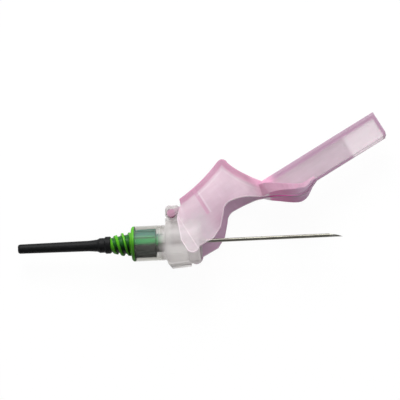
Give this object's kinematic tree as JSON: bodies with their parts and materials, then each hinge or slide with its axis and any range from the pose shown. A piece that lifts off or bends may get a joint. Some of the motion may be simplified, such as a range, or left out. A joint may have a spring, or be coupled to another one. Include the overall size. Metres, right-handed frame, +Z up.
{
  "type": "safety blood collection needle",
  "caption": "Double-ended blood collection needle with a threaded green hub, a rubber sleeve and a hinged pink safety shield.",
  "frame": {"origin": "middle of the footprint on the table, with the needle lying on its side", "axes": "+X towards the shield's front end, the sharp needle tip points almost along it; +Y towards the hinge side; +Z up, across the needle"},
  "size_m": [0.0834, 0.0332, 0.0144],
  "materials": {
    "steel": "ground tube, fine lengthwise drawing marks",
    "hub_green": "glossy, translucent",
    "glue": "clear cured bead",
    "rubber_black": "matt with a soft sheen",
    "collar_natural": "cloudy, translucent",
    "shield_pink": "satin, translucent"
  },
  "bodies": {
    "needle": {"needle_cannula": "steel", "hub": "hub_green", "front_adhesive": "glue", "rear_adhesive": "glue", "rubber_sleeve": "rubber_black", "collar": "collar_natural"},
    "shield": {"safety_shield": "shield_pink"}
  },
  "joints": [
    {"name": "shield_hinge", "type": "hinge", "parent": "needle", "child": "shield", "pos_m": [-0.00691, -0.00493, 0.00576], "axis": [-0.0681, 0.1098, 0.9916], "range_deg": [-30, 105]}
  ]
}
